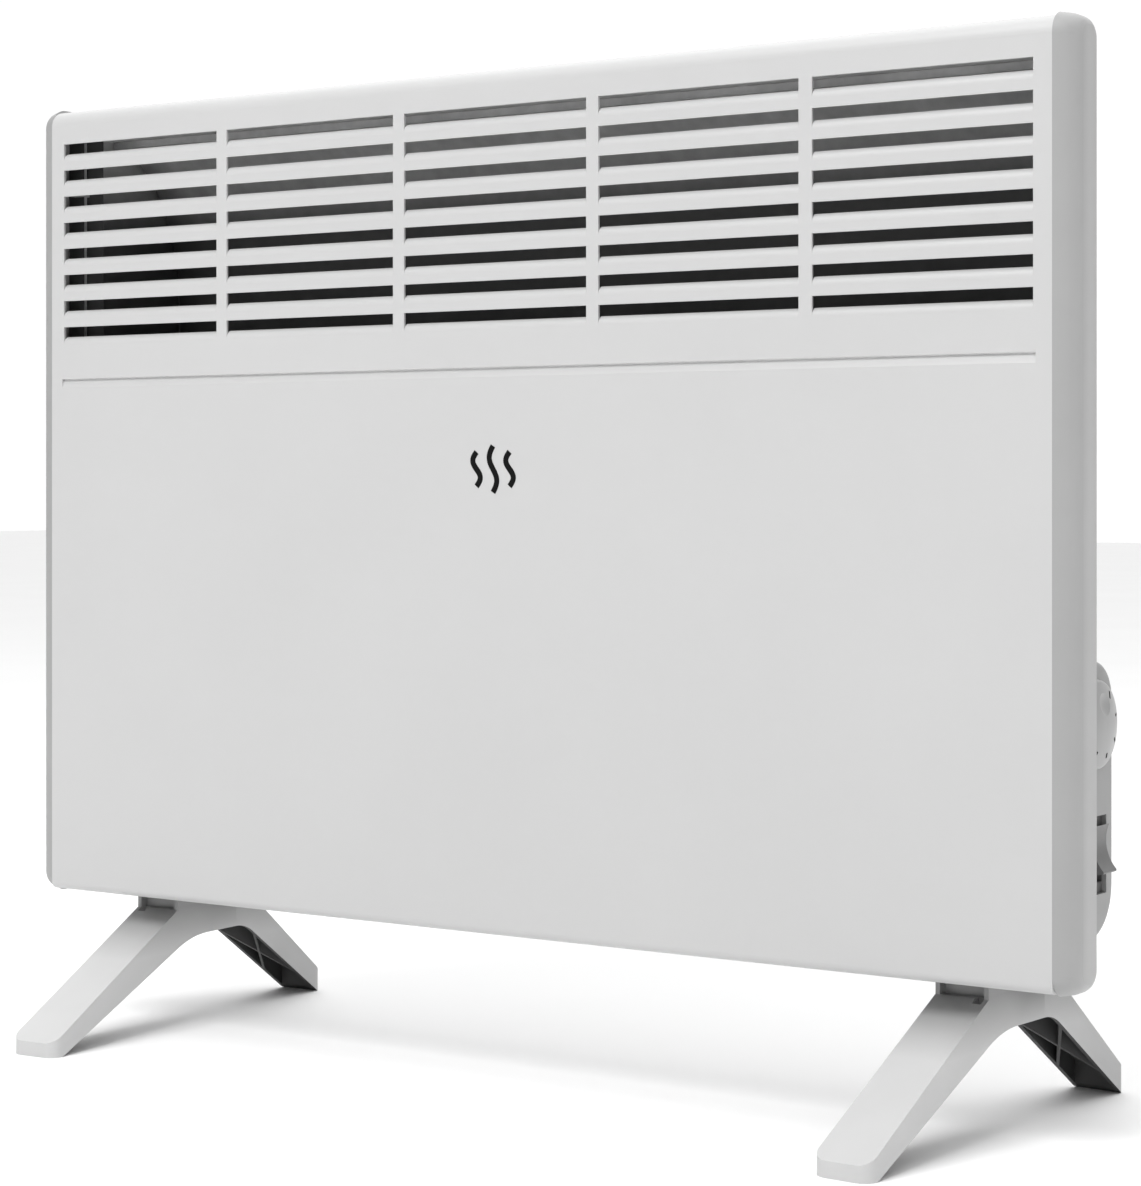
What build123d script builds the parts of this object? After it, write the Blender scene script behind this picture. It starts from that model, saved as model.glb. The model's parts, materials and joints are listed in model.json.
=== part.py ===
from build123d import *
from math import cos, radians, sin
import os

os.makedirs("parts", exist_ok=True)

# Panel convector heater on two feet, in millimetres.
# Frame: origin on the floor midway between the feet, X to the right, Y to the back, Z up.

# ---- Casing ----
overall_width = 595.0
panel_width = 574.0
panel_bottom = 70.0
panel_height = 410.0
panel_top = panel_bottom + panel_height
panel_middle = panel_bottom + panel_height / 2
front_y = -39.5
shell_depth = 20.0
body_depth = 80.0
sheet = 1.2
top_bend = 8.0
bottom_bend = 4.0
top_lip = 11.8
bottom_lip = 9.8
flange_y = front_y + shell_depth
back_y = front_y + body_depth

# ---- Outlet grille ----
columns = 5
rows = 8
slot_width = 106.0
bar_width = 6.7
pitch = 13.745
first_slot_top = 462.2
slot_height = 9.3
lip_radius = 4.6
lip_angle = 65.0
column_pitch = slot_width + bar_width
grille_left = -(columns * slot_width + (columns - 1) * bar_width) / 2

# ---- Pressed line across the front ----
crease_top = 338.8
crease_height = 4.6
crease_depth = 1.5
crease_step = 0.5
crease_half_length = 279.5

# ---- Rear panel and side panels ----
pan_sheet = 1.0
pan_half_width = 270.0
pan_bottom = 81.0
pan_top = 466.0
pan_back_bend = 2.5
pan_middle = (pan_bottom + pan_top) / 2
inner_back_y = back_y - pan_sheet
flange_half_width = 286.0
flange_bottom = 72.5
flange_top = 477.5
side_lap_width = 12.0
side_laps = [(84.0, 346.0), (404.0, 460.0)]
side_bend = 0.9

# ---- Air inlets ----
back_inlet_z = 116.0
back_inlet_columns = 14
back_inlet_rows = 5
back_inlet_pitch_x = 33.0
back_inlet_pitch_z = 9.0
back_inlet_length = 26.0
back_inlet_height = 4.0
bottom_inlet_y = 10.0
bottom_inlet_columns = 10
bottom_inlet_rows = 4
bottom_inlet_pitch_x = 38.0
bottom_inlet_pitch_y = 10.0
bottom_inlet_length = 31.0
bottom_inlet_width = 5.0

# ---- Wall bracket slots ----
wall_slot_half_span = 180.0
wall_slot_z = 290.0
wall_slot_rise = 200.0
wall_slot_length = 14.0
wall_slot_half_height = 2.5

# ---- Air deflector ----
deflector_sheet = 0.8
deflector_half_width = 267.0
deflector_front = front_y + 26.0
deflector_start_z = 372.0
deflector_rise = 90.0
deflector_foot_z = 352.0
deflector_hem = 3.6
deflector_reach = inner_back_y - deflector_front
deflector_screw_xs = [-200.0, 0.0, 200.0]
deflector_screw_z = 362.0

# ---- Screws ----
shank_radius = 1.5
shank_hole = 1.6
head_radius = 3.0
head_height = 2.0
recess_length = 3.2
recess_width = 0.7
recess_depth = 0.8
top_screw_z = 472.0
bottom_screw_z = 76.6
top_screw_xs = [-240.0, -120.0, 0.0, 120.0, 240.0]
bottom_screw_xs = [-180.0, -60.0, 60.0, 180.0]
cap_screw_x = 282.5
cap_screw_zs = [110.0, 275.0, 440.0]

# ---- Feet ----
foot_x = 234.6
foot_toe = 3.5
foot_half_length = 114.3
foot_wall = 2.2
tip_front_width = 28.0
tip_rear_width = 24.5
neck_width = 26.4
neck_front = -16.0
neck_rear = 34.0
ledge_z = 61.0
tip_front_height = 7.2
tip_rear_height = 9.6
neck_rear_z = 72.4
arch_z = 46.3
arch_front = -3.5
arch_rear = 42.0
tip_corner = 6.5
front_pad_end = -107.5
rear_pad_end = 110.0
pad_edge = 4.0
solid_front_tip = 15.0
solid_rear_tip = 8.0
pocket_width = neck_width - 2 * foot_wall
pocket_depth = 5.0
pocket_floor = 3.0
notch_across = 8.8
notch_width = 4.4
notch_depth = 3.0
rib_thickness = 1.4
rib_places = [(-80.0, 30.0), (-80.0, -30.0), (-45.0, 30.0), (-45.0, -30.0), (72.0, 30.0), (72.0, -30.0)]
foot_screw_radius = 2.0
foot_screw_hole = 2.1
foot_screw_places = [(1.5, 2.0), (0.0, 22.0)]

# ---- Control unit ----
pod_outer_x = 281.0
pod_front = front_y + 33.0
pod_rear = front_y + 77.5
pod_bottom = 84.5
pod_top = 206.5
pod_wall = 2.2
box_inner_x = 228.0
box_front = front_y + 35.5
box_rear = front_y + 74.0
box_bottom = 91.0
box_top = 199.0
box_wall = 1.5
cover_thickness = 1.6
knob_y = front_y + 52.0
knob_z = 179.5
knob_radius = 19.5
knob_dome_radius = knob_radius - 1.5
spindle_radius = 3.0
bushing_radius = 5.0
switch_y = front_y + 61.5
switch_z = 122.0
switch_half_height = 17.1
switch_half_width = 7.2
switch_cavity_half_height = 12.4
switch_wall = 1.2
rocker_pivot_x = 271.0
rocker_half_height = 10.5
rocker_half_width = 6.9
rocker_tilt = 12.0
pivot_pin_radius = 1.5
running_gap = 0.05
inlet_x = 257.5
inlet_y = front_y + 52.0
cord_bore_radius = 4.2
bush_radius = 6.0
housing_screw_zs = [87.8, 202.6]

# ---- Heating element ----
element_y = front_y + 50.0
element_z = 165.0
element_left = -208.0
element_right = 182.0
tube_radius = 4.0
tube_hole = 4.05
fin_radius = 24.0
fin_thickness = 1.4
fin_count = 12
bracket_left_x = -216.0
bracket_right_x = 190.0
bracket_sheet = 1.2
bracket_screw_offset = 8.0
bracket_screw_zs = [element_z - 14.0, element_z + 14.0]
cutout_x = 150.0
cutout_screw_z = 228.0
earth_x = 232.0
earth_z = 222.0

base_up = (Align.CENTER, Align.CENTER, Align.MIN)


def finish(builder, name):
    """Name a finished piece and write it."""
    builder.part.label = name
    export_step(builder.part, "parts/" + name + ".step")


def along_y(x, y, z):
    """A plane whose normal points to the back."""
    return Plane(origin=(x, y, z), x_dir=(1, 0, 0), z_dir=(0, 1, 0))


def along_x(x, y, z):
    """A plane whose normal points to the right."""
    return Plane(origin=(x, y, z), x_dir=(0, 1, 0), z_dir=(1, 0, 0))


def panhead_screw(plane, length, shank=shank_radius, head=head_radius):
    """A cross-recess screw: head above the plane, shank below it."""
    with Locations(plane):
        Cylinder(head, head_height, align=base_up)
        Cylinder(shank, length, align=(Align.CENTER, Align.CENTER, Align.MAX))
    with Locations(plane.offset(head_height)):
        Box(recess_length, recess_width, 2 * recess_depth, mode=Mode.SUBTRACT)
        Box(recess_width, recess_length, 2 * recess_depth, mode=Mode.SUBTRACT)


# ================= front panel =================
with BuildPart() as front_panel:
    with BuildSketch(Plane.YZ.offset(-panel_width / 2)):
        with Locations((front_y + shell_depth / 2, panel_middle)):
            Rectangle(shell_depth, panel_height)
        fillet(vertices().group_by(Axis.X)[0].sort_by(Axis.Y)[-1], top_bend)
        fillet(vertices().group_by(Axis.X)[0].sort_by(Axis.Y)[0], bottom_bend)
        offset(amount=-sheet, mode=Mode.SUBTRACT)
        opening_bottom = panel_bottom + sheet + bottom_lip
        opening_top = panel_top - sheet - top_lip
        with Locations((flange_y, (opening_bottom + opening_top) / 2)):
            Rectangle(2 * sheet + 0.4, opening_top - opening_bottom, mode=Mode.SUBTRACT)
    extrude(amount=panel_width)

    # Outlet slots: each one is cut on three sides and its lower edge is rolled inwards.
    slots_middle = first_slot_top - slot_height / 2 - (rows - 1) * pitch / 2
    with BuildSketch(Plane.XZ.offset(-front_y)):
        with Locations((0, slots_middle)):
            with GridLocations(column_pitch, pitch, columns, rows):
                Rectangle(slot_width, slot_height)
    extrude(amount=-2 * sheet, mode=Mode.SUBTRACT)
    for column in range(columns):
        with BuildSketch(Plane.YZ.offset(grille_left + column * column_pitch)):
            for row in range(rows):
                lip_root = first_slot_top - slot_height - row * pitch
                center = (front_y + lip_radius, lip_root)
                with BuildLine():
                    outer = CenterArc(center, lip_radius, 180, -lip_angle)
                    inner = CenterArc(center, lip_radius - sheet, 180, -lip_angle)
                    Line(outer @ 0, inner @ 0)
                    Line(outer @ 1, inner @ 1)
                make_face()
        extrude(amount=slot_width)

    # Pressed line: a short step facing down above a long slope facing up.
    with BuildSketch(Plane.YZ.offset(-crease_half_length)):
        with BuildLine():
            Polyline(
                (front_y + sheet, crease_top + sheet),
                (front_y + sheet + crease_depth, crease_top),
                (front_y + sheet + crease_depth, crease_top - crease_height / 3),
                (front_y + sheet, crease_top - crease_height),
                close=True,
            )
        make_face()
    extrude(amount=2 * crease_half_length)
    with BuildSketch(Plane.YZ.offset(-crease_half_length)):
        with BuildLine():
            Polyline(
                (front_y, crease_top),
                (front_y + crease_depth, crease_top - crease_step),
                (front_y, crease_top - crease_height),
                close=True,
            )
        make_face()
    extrude(amount=2 * crease_half_length, mode=Mode.SUBTRACT)

    with BuildSketch(Plane.XZ.offset(-flange_y)):
        with Locations(*[(x, top_screw_z) for x in top_screw_xs]):
            Circle(shank_hole)
        with Locations(*[(x, bottom_screw_z) for x in bottom_screw_xs]):
            Circle(shank_hole)
    extrude(amount=2 * sheet, mode=Mode.SUBTRACT)
finish(front_panel, "front_panel")

# ================= side caps =================
cap_outer_x = overall_width / 2
cap_inner_x = panel_width / 2
cap_depth = 23.5
cap_overhang = 1.5
# (x, front inset, rear inset, top and bottom inset, corner radius)
cap_sections = [
    (cap_inner_x, 0.0, 0.0, 0.0, 9.8),
    (cap_inner_x + 4.6, 1.6, 0.0, 0.8, 9.0),
    (cap_inner_x + 8.5, 4.2, 0.3, 2.4, 7.5),
    (cap_outer_x, 8.0, 2.0, 5.5, 5.0),
]
tongue_length = 7.5

with BuildPart() as side_cap_right:
    for x, front_inset, rear_inset, end_inset, corner in cap_sections:
        middle_y = front_y + (front_inset + cap_depth - rear_inset) / 2
        with BuildSketch(Plane.YZ.offset(x)):
            with Locations((middle_y, panel_middle)):
                RectangleRounded(
                    cap_depth - front_inset - rear_inset,
                    panel_height + 2 * (cap_overhang - end_inset),
                    corner,
                )
    loft()
    # The moulding is hollow on the inside.
    with Locations((cap_inner_x, front_y + 10.5, panel_middle)):
        Box(8.0, 13.0, panel_height - 24.0, mode=Mode.SUBTRACT)
    # A rim slips inside the front panel, with three screw bosses behind it.
    with BuildSketch(Plane.YZ.offset(cap_inner_x - tongue_length)):
        with Locations((front_y + 10.0, panel_middle)):
            RectangleRounded(17.0, panel_height - 3.2, 7.0)
        offset(amount=-2.0, mode=Mode.SUBTRACT)
    extrude(amount=tongue_length + 1.0)
    for z in cap_screw_zs:
        with Locations((cap_screw_x, front_y + 14.9, z)):
            Box(7.0, 10.0, 8.0)
    with Locations(*[along_y(cap_screw_x, front_y + 21.0, z) for z in cap_screw_zs]):
        Cylinder(shank_hole, 20.0, mode=Mode.SUBTRACT)
finish(side_cap_right, "side_cap_right")

with BuildPart() as side_cap_left:
    mirror(side_cap_right.part, about=Plane.YZ)
finish(side_cap_left, "side_cap_left")


# ================= rear panel and side panels =================
def foot_point(across, along):
    """Place on the right foot, measured across and along it from its middle."""
    toe = radians(foot_toe)
    x = foot_x + across * cos(toe) + along * sin(toe)
    y = along * cos(toe) - across * sin(toe)
    return (x, y)


bracket_hole_places = []
for hole_z in bracket_screw_zs:
    bracket_hole_places.append((bracket_left_x - bracket_screw_offset, hole_z))
    bracket_hole_places.append((bracket_right_x + bracket_screw_offset, hole_z))
pan_inner_x = pan_half_width - pan_sheet

# The rear panel is one folded sheet: the back, the top, the underside and two flanges.
with BuildPart() as rear_panel:
    with BuildSketch(Plane.YZ.offset(-pan_inner_x)):
        with Locations(((flange_y + back_y) / 2, pan_middle)):
            Rectangle(back_y - flange_y, pan_top - pan_bottom)
        fillet(vertices().group_by(Axis.X)[-1], pan_back_bend)
        offset(amount=-pan_sheet, mode=Mode.SUBTRACT)
        with Locations((flange_y, pan_middle)):
            Rectangle(2 * pan_sheet, pan_top - pan_bottom - 2 * pan_sheet, mode=Mode.SUBTRACT)
        with Locations((flange_y, (flange_bottom + pan_bottom) / 2)):
            Rectangle(pan_sheet, pan_bottom - flange_bottom, align=(Align.MIN, Align.CENTER))
        with Locations((flange_y, (flange_top + pan_top) / 2)):
            Rectangle(pan_sheet, flange_top - pan_top, align=(Align.MIN, Align.CENTER))
    extrude(amount=2 * pan_inner_x)

    # Screw holes in the flanges.
    with BuildSketch(Plane.XZ.offset(-flange_y + pan_sheet)):
        with Locations(*[(x, top_screw_z) for x in top_screw_xs]):
            Circle(shank_hole)
        with Locations(*[(x, bottom_screw_z) for x in bottom_screw_xs]):
            Circle(shank_hole)
    extrude(amount=-3 * pan_sheet, mode=Mode.SUBTRACT)

    # Holes in the back: air inlet, wall bracket, and the fixings of what is inside.
    with BuildSketch(Plane.XZ.offset(-inner_back_y + pan_sheet)):
        with Locations((0, back_inlet_z)):
            with GridLocations(
                back_inlet_pitch_x, back_inlet_pitch_z, back_inlet_columns, back_inlet_rows
            ):
                SlotOverall(back_inlet_length, back_inlet_height)
        with Locations((0, wall_slot_z)):
            with GridLocations(2 * wall_slot_half_span, wall_slot_rise, 2, 2):
                SlotOverall(wall_slot_length, 2 * wall_slot_half_height)
        with Locations(*bracket_hole_places):
            Circle(shank_hole)
        with Locations(*[(x, deflector_screw_z) for x in deflector_screw_xs]):
            Circle(shank_hole)
        with Locations((cutout_x, cutout_screw_z), (earth_x, earth_z)):
            Circle(shank_hole)
    extrude(amount=-4 * pan_sheet, mode=Mode.SUBTRACT)

    # Holes in the underside: air inlet, foot screws and the cord inlet.
    with BuildSketch(Plane.XY.offset(pan_bottom - pan_sheet)):
        with Locations((0, bottom_inlet_y)):
            with GridLocations(
                bottom_inlet_pitch_x, bottom_inlet_pitch_y, bottom_inlet_columns, bottom_inlet_rows
            ):
                SlotOverall(bottom_inlet_length, bottom_inlet_width)
        for across, along in foot_screw_places:
            place_x, place_y = foot_point(across, along)
            with Locations((place_x, place_y), (-place_x, place_y)):
                Circle(foot_screw_hole)
        with Locations((inlet_x, inlet_y)):
            Circle(bush_radius + 0.1)
    extrude(amount=3 * pan_sheet, mode=Mode.SUBTRACT)
finish(rear_panel, "rear_panel")

# A side panel closes each end: its laps are spot-welded to the inside of the back.
side_depth = inner_back_y - flange_y
with BuildPart() as side_panel_left:
    with BuildSketch(Plane.YZ.offset(-pan_half_width)):
        with Locations((flange_y + side_depth / 2, pan_middle)):
            Rectangle(side_depth, pan_top - pan_bottom)
        fillet(vertices().group_by(Axis.X)[-1], pan_back_bend)
    extrude(amount=pan_sheet)
    fillet(edges().filter_by(Axis.Z).sort_by(Axis.X)[:2].sort_by(Axis.Y)[-1], side_bend)
    for lap_bottom, lap_top in side_laps:
        with Locations((-pan_inner_x, inner_back_y, (lap_bottom + lap_top) / 2)):
            Box(
                side_lap_width,
                pan_sheet,
                lap_top - lap_bottom,
                align=(Align.MIN, Align.MAX, Align.CENTER),
            )
    with Locations((-pan_inner_x, flange_y, (flange_bottom + flange_top) / 2)):
        Box(
            flange_half_width - pan_inner_x,
            pan_sheet,
            flange_top - flange_bottom,
            align=(Align.MAX, Align.MIN, Align.CENTER),
        )
    with Locations(*[along_y(-cap_screw_x, flange_y, z) for z in cap_screw_zs]):
        Cylinder(shank_hole, 4 * pan_sheet, mode=Mode.SUBTRACT)
finish(side_panel_left, "side_panel_left")

with BuildPart() as side_panel_right:
    mirror(side_panel_left.part, about=Plane.YZ)
    # Window for the control unit, and its two screw holes.
    with BuildSketch(Plane.YZ.offset(pan_half_width - 3 * pan_sheet)):
        with Locations(((box_front + box_rear) / 2, (box_bottom + box_top) / 2)):
            Rectangle(box_rear - box_front + 0.6, box_top - box_bottom + 0.6)
        with Locations(*[(knob_y, z) for z in housing_screw_zs]):
            Circle(shank_hole)
    extrude(amount=6 * pan_sheet, mode=Mode.SUBTRACT)
finish(side_panel_right, "side_panel_right")

with BuildPart() as casing_screws:
    for x in top_screw_xs:
        panhead_screw(along_y(x, flange_y + pan_sheet, top_screw_z), 6.0)
    for x in bottom_screw_xs:
        panhead_screw(along_y(x, flange_y + pan_sheet, bottom_screw_z), 6.0)
finish(casing_screws, "casing_screws")

with BuildPart() as cap_screws:
    for x in (-cap_screw_x, cap_screw_x):
        for z in cap_screw_zs:
            panhead_screw(along_y(x, flange_y + pan_sheet, z), 9.0)
finish(cap_screws, "cap_screws")

# ================= air deflector =================
with BuildPart() as air_deflector:
    with BuildSketch(Plane.YZ.offset(-deflector_half_width)):
        with Locations((deflector_front, deflector_start_z)):
            Ellipse(deflector_reach, deflector_rise)
            Ellipse(
                deflector_reach - deflector_sheet,
                deflector_rise - deflector_sheet,
                mode=Mode.SUBTRACT,
            )
            Rectangle(
                deflector_reach,
                deflector_rise,
                align=(Align.MIN, Align.MIN),
                mode=Mode.INTERSECT,
            )
        with Locations((inner_back_y - deflector_sheet / 2, (deflector_start_z + deflector_foot_z) / 2)):
            Rectangle(deflector_sheet, deflector_start_z - deflector_foot_z)
        with Locations((deflector_front, deflector_start_z + deflector_rise - deflector_sheet)):
            Rectangle(deflector_sheet, deflector_hem, align=(Align.MIN, Align.MIN))
    extrude(amount=2 * deflector_half_width)
    with Locations(*[along_y(x, inner_back_y, deflector_screw_z) for x in deflector_screw_xs]):
        Cylinder(shank_hole, 6.0, mode=Mode.SUBTRACT)
finish(air_deflector, "air_deflector")

with BuildPart() as deflector_screws:
    for x in deflector_screw_xs:
        panhead_screw(along_y(x, back_y, deflector_screw_z), 5.0)
finish(deflector_screws, "deflector_screws")


# ================= feet =================
toe_angle = radians(foot_toe)
foot_across = (cos(toe_angle), -sin(toe_angle), 0)
foot_along = (sin(toe_angle), cos(toe_angle), 0)
foot_side_plane = Plane(origin=(foot_x, 0, 0), x_dir=foot_along, z_dir=foot_across)
foot_plan_plane = Plane(origin=(foot_x, 0, 0), x_dir=foot_across, z_dir=(0, 0, 1))


def foot_profile(inset, floor_drop):
    """Side view of a foot: two legs under a neck. An inset gives the hollow inside."""
    with BuildLine() as outline:
        Polyline(
            (-foot_half_length + inset, -floor_drop),
            (-foot_half_length + inset, tip_front_height - 0.6 * inset),
            (neck_front + inset, ledge_z - 0.6 * inset),
            (neck_front + inset, pan_bottom - inset),
            (neck_rear - inset, pan_bottom - inset),
            (neck_rear - inset, neck_rear_z - 0.5 * inset),
            (foot_half_length - inset, tip_rear_height - 0.5 * inset),
            (foot_half_length - inset, -floor_drop),
            (rear_pad_end, -floor_drop),
            (arch_rear, arch_z - floor_drop),
            (arch_front, arch_z - floor_drop),
            (front_pad_end, -floor_drop),
            close=True,
        )
    make_face(outline.edges())


def foot_plan(inset):
    """Plan view of a foot, from the wide front tip to the narrower rear tip."""
    half_length = foot_half_length - inset
    half_front = tip_front_width / 2 - inset
    half_neck = neck_width / 2 - inset
    half_rear = tip_rear_width / 2 - inset
    with BuildLine() as outline:
        Polyline(
            (-half_front, -half_length),
            (half_front, -half_length),
            (half_neck, neck_front),
            (half_neck, neck_rear),
            (half_rear, half_length),
            (-half_rear, half_length),
            (-half_neck, neck_rear),
            (-half_neck, neck_front),
            close=True,
        )
    make_face(outline.edges())
    ends = vertices().group_by(Axis.Y)
    fillet(ends[0] + ends[-1], tip_corner - inset)


with BuildPart() as foot_hollow:
    with BuildSketch(foot_side_plane):
        foot_profile(foot_wall, 12.0)
    extrude(amount=20.0, both=True)
    with BuildSketch(foot_plan_plane.offset(-20.0)):
        foot_plan(foot_wall)
    extrude(amount=120.0, mode=Mode.INTERSECT)
    # The tips stay solid where they stand on the floor, and so do the ribs.
    with Locations(foot_plan_plane):
        with Locations((0, -foot_half_length, 0)):
            Box(40.0, 2 * solid_front_tip, 60.0, mode=Mode.SUBTRACT)
        with Locations((0, foot_half_length, 0)):
            Box(40.0, 2 * solid_rear_tip, 60.0, mode=Mode.SUBTRACT)
        for rib_y, rib_turn in rib_places:
            with Locations(Location((0, rib_y, 40.0), (0, 0, rib_turn))):
                Box(rib_thickness, 60.0, 100.0, mode=Mode.SUBTRACT)

with BuildPart() as foot_right:
    with BuildSketch(foot_side_plane):
        foot_profile(0.0, 0.0)
        fillet(vertices().filter_by(lambda v: abs(v.X - arch_front) < 0.1), 60.0)
        fillet(vertices().filter_by(lambda v: abs(v.X - arch_rear) < 0.1), 26.0)
        for pad_end in (front_pad_end, rear_pad_end):
            fillet(vertices().filter_by(lambda v: abs(v.X - pad_end) < 0.1), pad_edge)
    extrude(amount=20.0, both=True)
    with BuildSketch(foot_plan_plane):
        foot_plan(0.0)
    extrude(amount=100.0, mode=Mode.INTERSECT)
    add(foot_hollow.part, mode=Mode.SUBTRACT)
    # Pocket at the front of the neck, open to the front and the top, with a small notch.
    with Locations(foot_plan_plane):
        with Locations((0, neck_front + pocket_depth, ledge_z)):
            Box(
                pocket_width,
                2 * pocket_depth,
                2 * (pan_bottom - ledge_z),
                align=(Align.CENTER, Align.MAX, Align.MIN),
                mode=Mode.SUBTRACT,
            )
        with Locations((0, neck_front, ledge_z)):
            Box(
                pocket_width,
                pocket_depth,
                pocket_floor,
                align=(Align.CENTER, Align.MIN, Align.MAX),
            )
        with Locations((0, neck_front + pocket_depth, pan_bottom)):
            Box(
                pocket_width,
                foot_wall,
                pan_bottom - ledge_z + pocket_floor,
                align=(Align.CENTER, Align.MIN, Align.MAX),
            )
        with Locations((notch_across, neck_front, ledge_z)):
            Box(notch_width, 2 * notch_depth, 2 * pocket_floor, mode=Mode.SUBTRACT)
    for across, along in foot_screw_places:
        place_x, place_y = foot_point(across, along)
        with Locations((place_x, place_y, pan_bottom - 15.0)):
            Cylinder(foot_screw_hole, 40.0, mode=Mode.SUBTRACT)
finish(foot_right, "foot_right")

with BuildPart() as foot_left:
    mirror(foot_right.part, about=Plane.YZ)
finish(foot_left, "foot_left")

# Each foot hangs on two screws, with nuts inside the rear panel.
foot_head_radius = 3.6
foot_screw_top = 88.0
foot_screw_seat = pan_bottom - foot_wall
foot_nut_radius = 4.0
foot_nut_height = 3.2

with BuildPart() as foot_screws:
    for across, along in foot_screw_places:
        place_x, place_y = foot_point(across, along)
        for x in (-place_x, place_x):
            seat = Plane(origin=(x, place_y, foot_screw_seat), x_dir=(1, 0, 0), z_dir=(0, 0, -1))
            panhead_screw(seat, foot_screw_top - foot_screw_seat, foot_screw_radius, foot_head_radius)
finish(foot_screws, "foot_screws")

with BuildPart() as foot_nuts:
    with BuildSketch(Plane.XY.offset(pan_bottom + pan_sheet)):
        for across, along in foot_screw_places:
            place_x, place_y = foot_point(across, along)
            with Locations((-place_x, place_y), (place_x, place_y)):
                RegularPolygon(foot_nut_radius, 6)
                Circle(foot_screw_hole, mode=Mode.SUBTRACT)
    extrude(amount=foot_nut_height)
finish(foot_nuts, "foot_nuts")


# ================= control unit =================
pod_rim = 2.0
pod_rear_top_corner = 17.0
pod_rear_bottom_corner = 24.0
pod_front_corner = 12.0
pod_edge = 4.0


def pod_outline(inset):
    """Side view of the pod: rounder at the back than at the front."""
    with Locations(((pod_front + pod_rear) / 2, (pod_bottom + pod_top) / 2)):
        Rectangle(pod_rear - pod_front - 2 * inset, pod_top - pod_bottom - 2 * inset)
    rear_points = vertices().group_by(Axis.X)[-1].sort_by(Axis.Y)
    fillet(rear_points[0], pod_rear_bottom_corner - inset)
    rear_points = vertices().group_by(Axis.X)[-1].sort_by(Axis.Y)
    fillet(rear_points[-1], pod_rear_top_corner - inset)
    fillet(vertices().group_by(Axis.X)[0], pod_front_corner - inset)


with BuildPart() as control_housing:
    with BuildSketch(Plane.YZ.offset(pan_half_width)):
        pod_outline(0.0)
    extrude(amount=pod_outer_x - pan_half_width)
    fillet(faces().sort_by(Axis.X)[-1].edges(), pod_edge)
    with BuildSketch(Plane.YZ.offset(pan_half_width + pod_rim)):
        pod_outline(pod_wall)
    extrude(amount=pod_outer_x - pod_wall - pan_half_width - pod_rim, mode=Mode.SUBTRACT)
    # A box behind the pod reaches into the rear panel.
    box_middle = ((box_front + box_rear) / 2, (box_bottom + box_top) / 2)
    with BuildSketch(Plane.YZ.offset(box_inner_x)):
        with Locations(box_middle):
            Rectangle(box_rear - box_front, box_top - box_bottom)
    extrude(amount=pan_half_width - box_inner_x)
    with BuildSketch(Plane.YZ.offset(box_inner_x)):
        with Locations(box_middle):
            Rectangle(box_rear - box_front - 2 * box_wall, box_top - box_bottom - 2 * box_wall)
    extrude(amount=pan_half_width + pod_rim - box_inner_x, mode=Mode.SUBTRACT)
    with Locations(*[along_x(pan_half_width, knob_y, z) for z in housing_screw_zs]):
        Cylinder(head_radius, pod_outer_x - pan_half_width - pod_wall, align=base_up)
        Cylinder(shank_hole, 7.0, align=base_up, mode=Mode.SUBTRACT)
    # Openings for the thermostat, the switch and the cord.
    with Locations(along_x(pod_outer_x, knob_y, knob_z)):
        Cylinder(bushing_radius + 0.1, 8.0, mode=Mode.SUBTRACT)
    with Locations((pod_outer_x, switch_y, switch_z)):
        Box(8.0, 2 * switch_half_width, 2 * switch_half_height, mode=Mode.SUBTRACT)
    with Locations((inlet_x, inlet_y, box_bottom)):
        Cylinder(cord_bore_radius + 0.4, 6.0, mode=Mode.SUBTRACT)
finish(control_housing, "control_housing")

cover_hole_radius = 4.0
cover_holes = [(46.0, 182.0), (60.0, 146.0), (68.2, 163.6), (48.0, 160.0)]
with BuildPart() as control_cover:
    with BuildSketch(Plane.YZ.offset(box_inner_x - cover_thickness)):
        with Locations(box_middle):
            Rectangle(box_rear - box_front, box_top - box_bottom)
    extrude(amount=cover_thickness)
    with BuildSketch(Plane.YZ.offset(box_inner_x)):
        with Locations(box_middle):
            rim_gap = box_wall + 0.1
            Rectangle(box_rear - box_front - 2 * rim_gap, box_top - box_bottom - 2 * rim_gap)
        offset(amount=-1.2, mode=Mode.SUBTRACT)
    extrude(amount=2.5)
    with BuildSketch(Plane.YZ.offset(box_inner_x - cover_thickness)):
        with Locations(*[(front_y + depth, z) for depth, z in cover_holes]):
            Circle(cover_hole_radius)
    extrude(amount=2 * cover_thickness, mode=Mode.SUBTRACT)
finish(control_cover, "control_cover")

with BuildPart() as housing_screws:
    for z in housing_screw_zs:
        head_side = Plane(
            origin=(pan_half_width - pan_sheet, knob_y, z),
            x_dir=(0, 1, 0),
            z_dir=(-1, 0, 0),
        )
        panhead_screw(head_side, 7.0)
finish(housing_screws, "housing_screws")

# ---- thermostat ----
body_front_x = 276.0
body_back_x = 252.0
bushing_end_x = 283.6
face_inner_x = pod_outer_x - pod_wall
spindle_back_x = 264.0
spindle_end_x = 286.6
knob_top_x = 288.6
knob_skirt_x = 281.6
tab_length = 6.0
tab_width = 6.3
tab_thickness = 0.8
thermostat_tabs = [(62.0, 171.0), (46.0, 186.0)]

with BuildPart() as thermostat_body:
    with Locations(((body_front_x + body_back_x) / 2, knob_y, knob_z)):
        Box(body_front_x - body_back_x, 29.0, 31.0)
    fillet(edges().filter_by(Axis.X), 3.0)
    with Locations(along_x(body_front_x, knob_y, knob_z)):
        Cylinder(8.0, face_inner_x - body_front_x, align=base_up)
        Cylinder(bushing_radius, bushing_end_x - body_front_x, align=base_up)
    with Locations(along_x(spindle_back_x - 1.0, knob_y, knob_z)):
        Cylinder(spindle_radius + running_gap, 30.0, align=base_up, mode=Mode.SUBTRACT)
finish(thermostat_body, "thermostat_body")

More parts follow.
